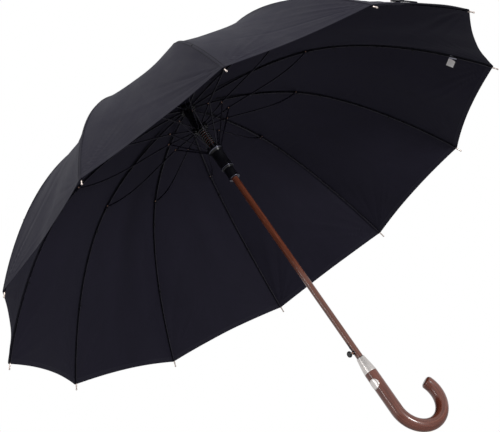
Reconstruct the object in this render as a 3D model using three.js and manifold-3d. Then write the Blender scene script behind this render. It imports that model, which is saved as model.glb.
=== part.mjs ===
// A twelve-rib automatic stick umbrella, shown open. Millimetres, +Z up.
// The origin is on the shaft axis, at the middle of the straight grip of the crook handle.
// The crook turns towards +X, and the ribs stand every 30 degrees, the first one over +X.
import * as THREE from 'three';
import { mergeVertices } from 'three/addons/utils/BufferGeometryUtils.js';
import Module from 'manifold-3d';

const wasm = await Module();
wasm.setup();

// ---- driving dimensions ----
const RIB_COUNT = 12;
const RIB_STEP = (2 * Math.PI) / RIB_COUNT;
const PIVOT_RADIUS = 13; // hinge circle of the notch and of both runners

const NOTCH_PIVOT_Z = 648; // rib hinges
const RIB_JOINT = { r: 250, z: 624 }; // where a strut meets its rib
const UPPER_PIVOT_Z = 2 * RIB_JOINT.z - NOTCH_PIVOT_Z; // strut hinges, so that rib and strut are equal
const LOWER_PIVOT_Z = 547; // link hinges
const STRUT_JOINT_R = 66; // where a link meets its strut
const RIB_TIP = { r: 520, z: 390 };

const SHAFT_RADIUS = 6.1;
const SHAFT_BORE = 5.2;
const SHAFT_FOOT_Z = 40;
const SHAFT_TOP_Z = 664;

const GRIP_RADIUS = 11.5;
const GRIP_TOP_Z = 30.7;
const BEND_START_Z = -46.9;
const BEND_RADIUS = 47.2;
const BEND_ANGLE = THREE.MathUtils.degToRad(213);

const GAP = 0.3; // running clearance between neighbouring pieces

const COLLAR_FOOT_Z = 31;
const COLLAR_TOP_Z = 63.5;

const BADGE_Z = 9;
const BADGE_HALF_HEIGHT = 9.5;
const BADGE_HALF_ANGLE = 0.85;
const BADGE_TURN = 0.26; // from -X towards -Y
const BADGE_THICKNESS = 0.9;
const BADGE_PROUD = 0.25;

const BUTTON_Z = 76;
const BUTTON_STEM = 2;
const BUTTON_HOLE = BUTTON_STEM + GAP;
const BUTTON_CAP = 5.6;
const BUTTON_STEM_IN = 0.2; // distances from the shaft axis
const BUTTON_CAP_IN = 13.4;
const BUTTON_CAP_OUT = 17.8;

const FERRULE_FOOT_Z = 668.5;
const FERRULE_TOP_Z = 764;

const HUB_RADIUS = 15.5; // notch and runner flanges
const HUB_HALF_HEIGHT = 5;
const SLOT_REACH = 18; // slots are cut out to here, past the flanges
const SLOT_FLOOR_R = 9.8;
const LINK_SLOT_FLOOR_R = 12.5; // room for the closed links in the upper flange
const RUNNER_BORE = SHAFT_RADIUS + GAP;
const RUNNER_TOP_Z = LOWER_PIVOT_Z + HUB_HALF_HEIGHT;
const RUNNER_WAIST_Z = 502;
const RUNNER_FOOT_Z = 475.5;
const CATCH_SLOT_WIDTH = 5; // lets the closed runner pass the button's stem
const CATCH_SLOT_HEIGHT = 3.5;

const SPRING_RADIUS = 7.4;
const SPRING_WIRE = 0.75;
const SPRING_TURNS = 7;
const SPRING_FOOT_Z = RUNNER_TOP_Z + SPRING_WIRE + GAP;
const SPRING_TOP_Z = UPPER_PIVOT_Z - HUB_HALF_HEIGHT - SPRING_WIRE - GAP;

const RIB_WIDTH = 2.4;
const RIB_HEIGHT = 3;
const OUTER_RIB_WIDTH = 2.2;
const STRUT_WIDTH = 1.7;
const STRUT_HEIGHT = 2.6;
const STRUT_OFFSET = -2.45; // struts lie beside their ribs
const STRUT_BOW = 8;
const LINK_WIDTH = 1.6;
const LINK_HEIGHT = 2.2;
const LINK_OFFSET = -0.35; // links lie between strut and rib planes
const EYE_RADIUS = 2.2;
const PIN_RADIUS = 0.8;
const PIN_HOLE = 1.1;

const CAP_BORE = 8.6; // round the shaft's top
const CANOPY_CLEARANCE = 3.4; // from the rib's middle line to the cloth's underside
const CANOPY_THICKNESS = 1.2;
const CANOPY_START_R = 9;
const CANOPY_END = 0.985; // share of the outer rib that the cloth covers
const GORE_SINK = 9; // how far the cloth dips between two ribs
const EDGE_SCALLOP = 8.5; // how far the hem curves in between two tips

// ---- materials ----
function finish(color, roughness, metalness) {
  return new THREE.MeshStandardMaterial({ color, roughness, metalness });
}

const wood = finish(0x6b3a28, 0.35, 0);
const shaftFilm = finish(0x4a2012, 0.3, 0.1);
const silver = finish(0xc9c2bc, 0.25, 1);
const blackPlastic = finish(0x0b0b10, 0.35, 0);
const blackSteel = finish(0x25252d, 0.35, 0.8);
const springSteel = finish(0x3a3a44, 0.25, 0.9);
const cloth = finish(0x1c1c28, 0.85, 0);

const umbrella = new THREE.Group();

function addPiece(name, geometry, material, parent = umbrella) {
  const mesh = new THREE.Mesh(geometry, material);
  mesh.name = name;
  parent.add(mesh);
  return mesh;
}

// ---- solid helpers ----
function toSolid(geometry) {
  const bare = geometry.clone();
  bare.deleteAttribute('normal');
  bare.deleteAttribute('uv');
  const merged = mergeVertices(bare, 1e-4);
  return new wasm.Manifold(new wasm.Mesh({
    numProp: 3,
    vertProperties: new Float32Array(merged.attributes.position.array),
    triVerts: new Uint32Array(merged.index.array),
  }));
}

function toGeometry(solid) {
  const mesh = solid.getMesh();
  const geometry = new THREE.BufferGeometry();
  geometry.setAttribute('position', new THREE.BufferAttribute(mesh.vertProperties, 3));
  geometry.setIndex(new THREE.BufferAttribute(mesh.triVerts, 1));
  geometry.computeVertexNormals();
  return geometry;
}

// A turned piece: [radius, height] corners, going round the section once, about the shaft axis.
function turned(corners, sides = 24) {
  const points = corners.map(([r, z]) => new THREE.Vector2(r, z));
  return new THREE.LatheGeometry(points, sides).rotateX(Math.PI / 2);
}

function ring(inner, outer, low, high, sides = 24) {
  return turned([[inner, low], [outer, low], [outer, high], [inner, high], [inner, low]], sides);
}

// A flat bar whose outline lies in the radial plane over +X; width and offset are across that plane.
function flatBar(outline, width, offset) {
  const options = { depth: width, bevelEnabled: false };
  const bar = new THREE.ExtrudeGeometry(new THREE.Shape(outline), options);
  return bar.rotateX(Math.PI / 2).translate(0, offset + width / 2, 0);
}

// The two edges of a strip that follows a curve, joined into one outline.
function strip(curve, steps, halfHeight, endHalfHeight = halfHeight) {
  const upper = [];
  const lower = [];
  for (let i = 0; i <= steps; i += 1) {
    const t = i / steps;
    const point = curve.getPoint(t);
    const along = curve.getTangent(t);
    const half = THREE.MathUtils.lerp(halfHeight, endHalfHeight, t);
    const across = new THREE.Vector2(-along.y, along.x).multiplyScalar(half);
    upper.push(point.clone().add(across));
    lower.push(point.clone().sub(across));
  }
  return [...lower, ...upper.reverse()];
}

function disc(centre, radius, width, offset, sides = 8) {
  const cylinder = new THREE.CylinderGeometry(radius, radius, width, sides);
  return cylinder.translate(centre.x, offset, centre.y);
}

// Twelve slots, open outwards, that the bars of one hinge circle swing in.
function cutSlots(solid, slot) {
  let cut = solid;
  for (let i = 0; i < RIB_COUNT; i += 1) {
    const depth = SLOT_REACH - slot.inner;
    const box = new THREE.BoxGeometry(depth, slot.width, slot.high - slot.low);
    box.translate(slot.inner + depth / 2, slot.offset, (slot.low + slot.high) / 2);
    cut = cut.subtract(toSolid(box.rotateZ(i * RIB_STEP)));
  }
  return cut;
}

// ---- middle lines of the folding frame, as (r, z) ----
const notchPivot = new THREE.Vector2(PIVOT_RADIUS, NOTCH_PIVOT_Z);
const upperPivot = new THREE.Vector2(PIVOT_RADIUS, UPPER_PIVOT_Z);
const lowerPivot = new THREE.Vector2(PIVOT_RADIUS, LOWER_PIVOT_Z);
const ribJoint = new THREE.Vector2(RIB_JOINT.r, RIB_JOINT.z);
const ribTip = new THREE.Vector2(RIB_TIP.r, RIB_TIP.z);
const strutShare = (STRUT_JOINT_R - PIVOT_RADIUS) / (RIB_JOINT.r - PIVOT_RADIUS);
const strutJoint = upperPivot.clone().lerp(ribJoint, strutShare);

// Beyond the link's joint each strut bows away from the cloth, as its spring-steel bar is loaded.
const strutLine = new THREE.CurvePath();
strutLine.add(new THREE.LineCurve(upperPivot, strutJoint));
const strutRun = ribJoint.clone().sub(strutJoint).multiplyScalar(0.35);
const strutSag = new THREE.Vector2(strutRun.y, -strutRun.x).normalize().multiplyScalar(STRUT_BOW);
strutLine.add(new THREE.CubicBezierCurve(
  strutJoint, strutJoint.clone().add(strutRun).addScaledVector(strutSag, 0.4),
  ribJoint.clone().sub(strutRun).addScaledVector(strutSag, 2.2), ribJoint));

const innerRibLine = new THREE.CubicBezierCurve(
  notchPivot, new THREE.Vector2(90, 655), new THREE.Vector2(180, 649), ribJoint);
const outerRibLine = new THREE.CubicBezierCurve(
  ribJoint, new THREE.Vector2(350, 590), new THREE.Vector2(452, 488), ribTip);

// ---- shaft, handle and top ----
function makeShaft() {
  const tube = toSolid(ring(SHAFT_BORE, SHAFT_RADIUS, SHAFT_FOOT_Z, SHAFT_TOP_Z));
  const hole = new THREE.CylinderGeometry(BUTTON_HOLE, BUTTON_HOLE, 8, 16);
  hole.rotateZ(Math.PI / 2).translate(-SHAFT_RADIUS, 0, BUTTON_Z);
  return toGeometry(tube.subtract(toSolid(hole)));
}

class CrookLine extends THREE.Curve {
  constructor() {
    super();
    this.straight = GRIP_TOP_Z - BEND_START_Z;
    this.total = this.straight + BEND_RADIUS * BEND_ANGLE;
  }

  getPoint(t, target = new THREE.Vector3()) {
    const s = t * this.total;
    if (s <= this.straight) {
      return target.set(0, 0, GRIP_TOP_Z - s);
    }
    const angle = (s - this.straight) / BEND_RADIUS;
    const x = BEND_RADIUS * (1 - Math.cos(angle));
    return target.set(x, 0, BEND_START_Z - BEND_RADIUS * Math.sin(angle));
  }
}

function roundSection(radius, sides) {
  const points = [];
  for (let i = 0; i < sides; i += 1) {
    const angle = (2 * Math.PI * i) / sides;
    points.push(new THREE.Vector2(radius * Math.cos(angle), radius * Math.sin(angle)));
  }
  return new THREE.Shape(points);
}

function makeCrook() {
  const options = { steps: 26, extrudePath: new CrookLine(), bevelEnabled: false };
  const body = toSolid(new THREE.ExtrudeGeometry(roundSection(GRIP_RADIUS, 16), options));
  const pocket = badgeSolid(BADGE_THICKNESS + GAP, BADGE_HALF_HEIGHT + GAP, BADGE_HALF_ANGLE * 1.04);
  return toGeometry(body.subtract(pocket));
}

// The badge is an oval cut from a thin shell around the grip, let into its -X side, turned a little.
function badgeSolid(thickness, halfHeight, halfAngle) {
  const outer = GRIP_RADIUS + BADGE_PROUD;
  const shell = toSolid(ring(outer - thickness, outer, BADGE_Z - 15, BADGE_Z + 15, 48));
  const oval = new THREE.CylinderGeometry(1, 1, 2 * GRIP_RADIUS, 24);
  oval.rotateZ(Math.PI / 2).translate(-GRIP_RADIUS - 1, 0, 0);
  oval.scale(1, GRIP_RADIUS * Math.sin(halfAngle), halfHeight).translate(0, 0, BADGE_Z);
  return shell.intersect(toSolid(oval.rotateZ(BADGE_TURN)));
}

function makeCollar() {
  const corners = [
    [SHAFT_RADIUS + GAP, COLLAR_FOOT_Z + 8], [GRIP_RADIUS - 1.4, COLLAR_FOOT_Z],
    [GRIP_RADIUS - 0.1, COLLAR_FOOT_Z], [GRIP_RADIUS - 0.3, COLLAR_FOOT_Z + 4],
    [GRIP_RADIUS - 1.5, COLLAR_FOOT_Z + 14], [7.8, COLLAR_TOP_Z - 3], [7.2, COLLAR_TOP_Z],
    [SHAFT_RADIUS + GAP, COLLAR_TOP_Z], [SHAFT_RADIUS + GAP, COLLAR_FOOT_Z + 8],
  ];
  return turned(corners, 28);
}

function makeButton() {
  const corners = [
    [0, BUTTON_STEM_IN], [BUTTON_STEM, BUTTON_STEM_IN], [BUTTON_STEM, BUTTON_CAP_IN],
    [BUTTON_CAP, BUTTON_CAP_IN], [BUTTON_CAP, BUTTON_CAP_OUT - 1],
    [BUTTON_CAP - 1, BUTTON_CAP_OUT], [0, BUTTON_CAP_OUT],
  ];
  return turned(corners, 16).rotateY(-Math.PI / 2).translate(0, 0, BUTTON_Z);
}

function makeFerrule() {
  return turned([
    [0, FERRULE_FOOT_Z], [7.2, FERRULE_FOOT_Z], [7.2, FERRULE_FOOT_Z + 4],
    [5.6, FERRULE_FOOT_Z + 7], [5.2, FERRULE_FOOT_Z + 40], [3.9, FERRULE_TOP_Z - 9],
    [4.6, FERRULE_TOP_Z - 8], [4.6, FERRULE_TOP_Z - 1], [4, FERRULE_TOP_Z], [0, FERRULE_TOP_Z],
  ], 20);
}

function makeNotch() {
  const low = NOTCH_PIVOT_Z - HUB_HALF_HEIGHT;
  const high = NOTCH_PIVOT_Z + HUB_HALF_HEIGHT;
  const body = turned([
    [RUNNER_BORE, low], [HUB_RADIUS, low], [HUB_RADIUS, high - 2], [11, high - 1], [8.2, high],
    [8.2, high + 5], [RUNNER_BORE, high + 5], [RUNNER_BORE, low],
  ]);
  const width = RIB_WIDTH + 2 * GAP;
  return toGeometry(cutSlots(toSolid(body), { inner: 9.6, low: low - 1, high: high + 1, width, offset: 0 }));
}

// ---- runners and spring ----
function makeUpperRunner() {
  const low = UPPER_PIVOT_Z - HUB_HALF_HEIGHT;
  const high = UPPER_PIVOT_Z + HUB_HALF_HEIGHT;
  const sleeveTop = NOTCH_PIVOT_Z - 9;
  const body = turned([
    [RUNNER_BORE, low], [HUB_RADIUS, low], [HUB_RADIUS, high - 1], [14.5, high], [9, high],
    [8.6, sleeveTop], [RUNNER_BORE, sleeveTop], [RUNNER_BORE, low],
  ]);
  const slot = { low: low - 1, high: high + 1 };
  const strutSlot = { ...slot, inner: SLOT_FLOOR_R, width: STRUT_WIDTH + 2 * GAP, offset: STRUT_OFFSET };
  const linkSlot = { ...slot, inner: LINK_SLOT_FLOOR_R, width: LINK_WIDTH + 2 * GAP, offset: LINK_OFFSET };
  return toGeometry(cutSlots(cutSlots(toSolid(body), strutSlot), linkSlot));
}

function makeLowerRunner() {
  const body = turned([
    [RUNNER_BORE, RUNNER_FOOT_Z], [10.4, RUNNER_FOOT_Z], [11.2, RUNNER_FOOT_Z + 1.5],
    [9.6, RUNNER_FOOT_Z + 4.5], [9.8, RUNNER_WAIST_Z - 4], [12.6, RUNNER_WAIST_Z - 1],
    [12.6, RUNNER_WAIST_Z + 1], [11.4, RUNNER_WAIST_Z + 4], [11.6, RUNNER_TOP_Z - 14],
    [15.2, RUNNER_TOP_Z - 8], [15.2, RUNNER_TOP_Z - 1], [14.4, RUNNER_TOP_Z],
    [RUNNER_BORE, RUNNER_TOP_Z], [RUNNER_BORE, RUNNER_FOOT_Z],
  ]);
  const slot = { inner: SLOT_FLOOR_R, low: RUNNER_TOP_Z - 9, high: RUNNER_TOP_Z + 1 };
  const cut = cutSlots(toSolid(body), { ...slot, width: LINK_WIDTH + 2 * GAP, offset: LINK_OFFSET });
  const catchSlot = new THREE.BoxGeometry(SLOT_REACH, CATCH_SLOT_WIDTH, 2 * CATCH_SLOT_HEIGHT);
  catchSlot.translate(-SLOT_REACH / 2 - SHAFT_RADIUS, 0, RUNNER_FOOT_Z);
  return toGeometry(cut.subtract(toSolid(catchSlot)));
}

class SpringLine extends THREE.Curve {
  getPoint(t, target = new THREE.Vector3()) {
    const angle = 2 * Math.PI * SPRING_TURNS * t;
    const z = THREE.MathUtils.lerp(SPRING_FOOT_Z, SPRING_TOP_Z, t);
    return target.set(SPRING_RADIUS * Math.cos(angle), SPRING_RADIUS * Math.sin(angle), z);
  }
}

function makeSpring() {
  const options = { steps: SPRING_TURNS * 10, extrudePath: new SpringLine(), bevelEnabled: false };
  return new THREE.ExtrudeGeometry(roundSection(SPRING_WIRE, 5), options);
}

// ---- one bay of the folding frame, in the radial plane over +X ----
function makeInnerRib() {
  const bar = toSolid(flatBar(strip(innerRibLine, 6, RIB_HEIGHT / 2), RIB_WIDTH, 0));
  const innerEye = toSolid(disc(notchPivot, EYE_RADIUS, RIB_WIDTH, 0));
  const outerEye = toSolid(disc(ribJoint, EYE_RADIUS, RIB_WIDTH, 0));
  const hole = toSolid(disc(ribJoint, PIN_HOLE, RIB_WIDTH + 2, 0));
  return toGeometry(bar.add(innerEye).add(outerEye).subtract(hole));
}

// The outer rib starts clear of the eye that it bends about, and ends in a ball tip.
function makeOuterRib() {
  const outline = strip(outerRibLine, 8, 1.25, 0.9);
  const bar = toSolid(flatBar(outline, OUTER_RIB_WIDTH, 0));
  const clearance = toSolid(disc(ribJoint, EYE_RADIUS + GAP, 6, 0));
  const along = outerRibLine.getTangent(1);
  const ball = new THREE.SphereGeometry(2, 6, 4);
  ball.translate(ribTip.x + 4 * along.x, 0, ribTip.y + 4 * along.y);
  const neck = new THREE.CylinderGeometry(0.8, 0.8, 8, 6);
  neck.rotateZ(Math.PI / 2).rotateY(-Math.atan2(along.y, along.x));
  neck.translate(ribTip.x, 0, ribTip.y);
  return toGeometry(bar.subtract(clearance).add(toSolid(neck)).add(toSolid(ball)));
}

function makeStrut() {
  const bar = toSolid(flatBar(strip(strutLine, 8, STRUT_HEIGHT / 2), STRUT_WIDTH, STRUT_OFFSET));
  const innerEye = toSolid(disc(upperPivot, EYE_RADIUS, STRUT_WIDTH, STRUT_OFFSET));
  const outerEye = toSolid(disc(ribJoint, EYE_RADIUS, STRUT_WIDTH, STRUT_OFFSET));
  const pinLength = RIB_WIDTH - STRUT_OFFSET + 1;
  const pin = toSolid(disc(ribJoint, PIN_RADIUS, pinLength, STRUT_OFFSET + pinLength / 2, 6));
  return toGeometry(bar.add(innerEye).add(outerEye).add(pin));
}

function makeLink() {
  const line = new THREE.LineCurve(lowerPivot, strutJoint);
  const bar = toSolid(flatBar(strip(line, 1, LINK_HEIGHT / 2), LINK_WIDTH, LINK_OFFSET));
  const innerEye = toSolid(disc(lowerPivot, EYE_RADIUS - 0.2, LINK_WIDTH, LINK_OFFSET));
  const outerEye = toSolid(disc(strutJoint, EYE_RADIUS, LINK_WIDTH, LINK_OFFSET));
  return toGeometry(bar.add(innerEye).add(outerEye));
}

// ---- canopy: one thin dome with twelve gores, closed round its hem and round the shaft hole ----
const GORE_COLUMNS = 3;
const INNER_ROWS = 4;
const OUTER_ROWS = 6;

// A place on the cloth's middle line over a rib, lifted off the rib by a given height.
function overRib(share, lift) {
  const innerShare = INNER_ROWS / (INNER_ROWS + OUTER_ROWS);
  const onInner = share <= innerShare;
  const line = onInner ? innerRibLine : outerRibLine;
  const t = onInner ? share / innerShare : ((share - innerShare) / (1 - innerShare)) * CANOPY_END;
  const point = line.getPoint(t);
  const along = line.getTangent(t);
  point.add(new THREE.Vector2(-along.y, along.x).multiplyScalar(lift));
  const pull = Math.max(0, 1 - share / 0.08) * (PIVOT_RADIUS - CANOPY_START_R);
  point.x -= pull;
  point.y += Math.max(0, 1 - share / 0.2) * 5;
  return { point, along };
}

function canopyPoint(share, column, lift) {
  const { point, along } = overRib(share, lift);
  const half = RIB_STEP / 2;
  const gore = Math.floor(column / GORE_COLUMNS);
  const offset = ((column % GORE_COLUMNS) / GORE_COLUMNS - 0.5) * RIB_STEP;
  const bow = 1 - (offset / half) ** 2;
  const sink = GORE_SINK * Math.sin(Math.min(share * 1.35, 1) * Math.PI / 2) * bow * share;
  const scallop = EDGE_SCALLOP * share ** 6 * bow;
  const r = point.x - along.x * scallop + along.y * sink;
  const z = point.y - along.y * scallop - along.x * sink;
  const angle = gore * RIB_STEP + half + offset;
  const reach = (r * Math.cos(half)) / Math.cos(offset);
  return [reach * Math.cos(angle), reach * Math.sin(angle), z];
}

function makeCanopy() {
  const columns = RIB_COUNT * GORE_COLUMNS;
  const rows = INNER_ROWS + OUTER_ROWS;
  const positions = [];
  for (const lift of [CANOPY_CLEARANCE, CANOPY_CLEARANCE + CANOPY_THICKNESS]) {
    for (let row = 0; row <= rows; row += 1) {
      for (let column = 0; column < columns; column += 1) {
        positions.push(...canopyPoint(row / rows, column, lift));
      }
    }
  }
  const layer = (rows + 1) * columns;
  const index = [];
  const quad = (a, b, c, d) => index.push(a, b, c, a, c, d);
  for (let column = 0; column < columns; column += 1) {
    const next = (column + 1) % columns;
    for (let row = 0; row < rows; row += 1) {
      const a = row * columns + column;
      const b = row * columns + next;
      const c = (row + 1) * columns + next;
      const d = (row + 1) * columns + column;
      quad(a, b, c, d);
      quad(layer + a, layer + d, layer + c, layer + b);
    }
    const last = rows * columns;
    quad(column, layer + column, layer + next, next);
    quad(last + next, layer + last + next, layer + last + column, last + column);
  }
  const geometry = new THREE.BufferGeometry();
  geometry.setAttribute('position', new THREE.Float32BufferAttribute(positions, 3));
  geometry.setIndex(index);
  geometry.computeVertexNormals();
  return geometry;
}

function makeCap() {
  return turned([
    [CAP_BORE, 661.2], [24, 660.4], [24.5, 661.2], [18, 663.6], [9.5, 666],
    [8, 668], [0, 668], [0, 665], [CAP_BORE, 664.5], [CAP_BORE, 661.2],
  ], 24);
}

// ---- assembly ----
addPiece('shaft', makeShaft(), shaftFilm);
addPiece('crook_handle', makeCrook(), wood);
addPiece('handle_collar', makeCollar(), silver);
const badge = badgeSolid(BADGE_THICKNESS, BADGE_HALF_HEIGHT, BADGE_HALF_ANGLE);
addPiece('handle_badge', toGeometry(badge), silver);
addPiece('release_button', makeButton(), blackPlastic);
addPiece('top_notch', makeNotch(), blackPlastic);
addPiece('ferrule', makeFerrule(), blackPlastic);
addPiece('upper_runner', makeUpperRunner(), blackPlastic);
addPiece('lower_runner', makeLowerRunner(), blackPlastic);
addPiece('opening_spring', makeSpring(), springSteel);
addPiece('canopy', makeCanopy(), cloth);
addPiece('canopy_cap', makeCap(), cloth);

for (let i = 0; i < RIB_COUNT; i += 1) {
  const number = String(i + 1).padStart(2, '0');
  const bay = new THREE.Group();
  bay.rotation.z = i * RIB_STEP;
  umbrella.add(bay);
  addPiece(`rib_${number}`, makeInnerRib(), blackSteel, bay);
  addPiece(`rib_end_${number}`, makeOuterRib(), blackSteel, bay);
  addPiece(`strut_${number}`, makeStrut(), blackSteel, bay);
  addPiece(`link_${number}`, makeLink(), blackSteel, bay);
}

export default umbrella;
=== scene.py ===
"""A twelve-rib automatic stick umbrella, shown open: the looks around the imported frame.

Lengths are in millimetres until a mesh is made. A bay is one rib with its strut, its link and the
cloth beside it, modelled over +X and turned to its place about the shaft.
"""
import math

import bmesh
import bpy
import numpy as np
from mathutils import Matrix, Vector


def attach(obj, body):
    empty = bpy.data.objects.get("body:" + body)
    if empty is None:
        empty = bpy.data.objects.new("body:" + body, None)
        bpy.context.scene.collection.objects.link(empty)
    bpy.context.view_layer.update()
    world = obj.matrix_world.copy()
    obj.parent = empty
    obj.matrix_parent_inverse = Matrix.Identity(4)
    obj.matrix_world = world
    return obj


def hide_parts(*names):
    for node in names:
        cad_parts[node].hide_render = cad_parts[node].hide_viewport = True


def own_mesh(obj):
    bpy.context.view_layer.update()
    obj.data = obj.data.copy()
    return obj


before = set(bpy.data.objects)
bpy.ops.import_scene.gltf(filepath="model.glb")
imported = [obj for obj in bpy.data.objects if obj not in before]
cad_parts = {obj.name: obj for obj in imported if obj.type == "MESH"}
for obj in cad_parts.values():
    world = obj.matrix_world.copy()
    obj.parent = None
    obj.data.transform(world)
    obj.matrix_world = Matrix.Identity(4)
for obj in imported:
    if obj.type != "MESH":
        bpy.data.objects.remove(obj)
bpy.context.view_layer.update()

MM = 0.001
SKY = 0.3  # strength of the backdrop as a light; it is white to the camera
REFLECTED_SKY = 0.5  # how much nearer to white the backdrop is in shiny surfaces
RIB_COUNT = 12
RIB_STEP = 2 * math.pi / RIB_COUNT
HALF_STEP = RIB_STEP / 2
SHARP_ANGLE = math.radians(38)

# ---- the folding frame's middle lines, as (r, z) ----
PIVOT_RADIUS = 13.0
NOTCH_PIVOT = np.array([PIVOT_RADIUS, 648.0])
RIB_JOINT = np.array([250.0, 624.0])
UPPER_PIVOT = np.array([PIVOT_RADIUS, 600.0])
LOWER_PIVOT = np.array([PIVOT_RADIUS, 547.0])
STRUT_JOINT_R = 66.0
STRUT_JOINT = UPPER_PIVOT + (RIB_JOINT - UPPER_PIVOT) * (STRUT_JOINT_R - PIVOT_RADIUS) / (
    RIB_JOINT[0] - PIVOT_RADIUS)
RIB_TIP = np.array([520.0, 390.0])
INNER_RIB = (NOTCH_PIVOT, np.array([90.0, 655.0]), np.array([180.0, 649.0]), RIB_JOINT)
OUTER_RIB = (RIB_JOINT, np.array([350.0, 590.0]), np.array([452.0, 488.0]), RIB_TIP)
STRUT_BOW = 8.0
STRUT_OFFSET = -2.45
LINK_OFFSET = -0.35

# ---- the bars' sections and joints ----
RIB_SECTION = (2.4, 3.0)  # width, height
OUTER_RIB_SECTION = (2.2, 2.5)
STRUT_SECTION = (1.7, 2.6)
LINK_SECTION = (1.6, 2.2)
BAR_ROUNDING = 0.45
EYE_RADIUS = 2.2
RUNNER_LOW, RUNNER_HIGH = 552.05, 595.0  # the faces that the opening spring pushes apart

# ---- shaft and handle ----
SHAFT_FOOT, SHAFT_TOP = 40, 664
SHAFT_RADIUS = 6.1
SHAFT_BORE = 5.2
RUNNER_BORE = SHAFT_RADIUS + 0.3
GRIP_RADIUS = 11.5
GRIP_TOP = 30.7
BEND_START = -46.9
BEND_RADIUS = 47.2
BEND_ANGLE = math.radians(213)
CROOK_ROUNDING = 5.5  # at the crook's end
BADGE_TURN = 0.26  # from -X towards -Y
BADGE_HEIGHT = 9
BADGE_HALF_HEIGHT = 9.5
BADGE_HALF_TURN = 0.85
BUTTON_HEIGHT = 76
CAP_RADIUS = 24.5
CATCH_SLOT = (474, 479, 5.5, 5.0, 0)  # in the runner's foot: from, to, floor, width, offset

# ---- cloth ----
CLOTH_LIFT = 3.5  # from the rib's middle line to the cloth's inner face
CLOTH_THICKNESS = 0.45
CLOTH_START_R = 9.0
CLOTH_END = 0.985
INNER_SHARE = 0.4  # of the way from the top to the hem, where the struts meet the ribs
# how far a gore dips half way down, how far at its hem, and how deep its hem is scalloped
GORE_CUT = (9.0, 9.0, 8.5)
UNEVEN_GORES = {1: (9.0, 9.0, 4.7), 5: (9.0, 8.0, 5.0), 9: (14.0, -6.0, 1.5)}
OUTER_RUN = 617.0  # millimetres of cloth for a whole share, beyond the strut joints
HEM_WIDTH = 10.0
HEM_ZONE = 16  # millimetres at the hem with rows of their own
WELD = 2e-6  # metres between points that are one point
TIES = (0.165, 0.575)  # where the outer ribs are tied to the cloth, as shares of their length
LABEL_PLACE = 0.78  # share of the outer rib
LABEL_LENGTH = 24.0
LABEL_WIDTH = 14.0
STRAP_WIDTH = 18.0
STRAP_THICKNESS = 2.4
STRAP_SHARE = 0.982
STRAP_SPAN = (70, 120)  # millimetres from rib 10

FLOOR_HEIGHT = -0.85
FLOOR_HALF = 9.0


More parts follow.
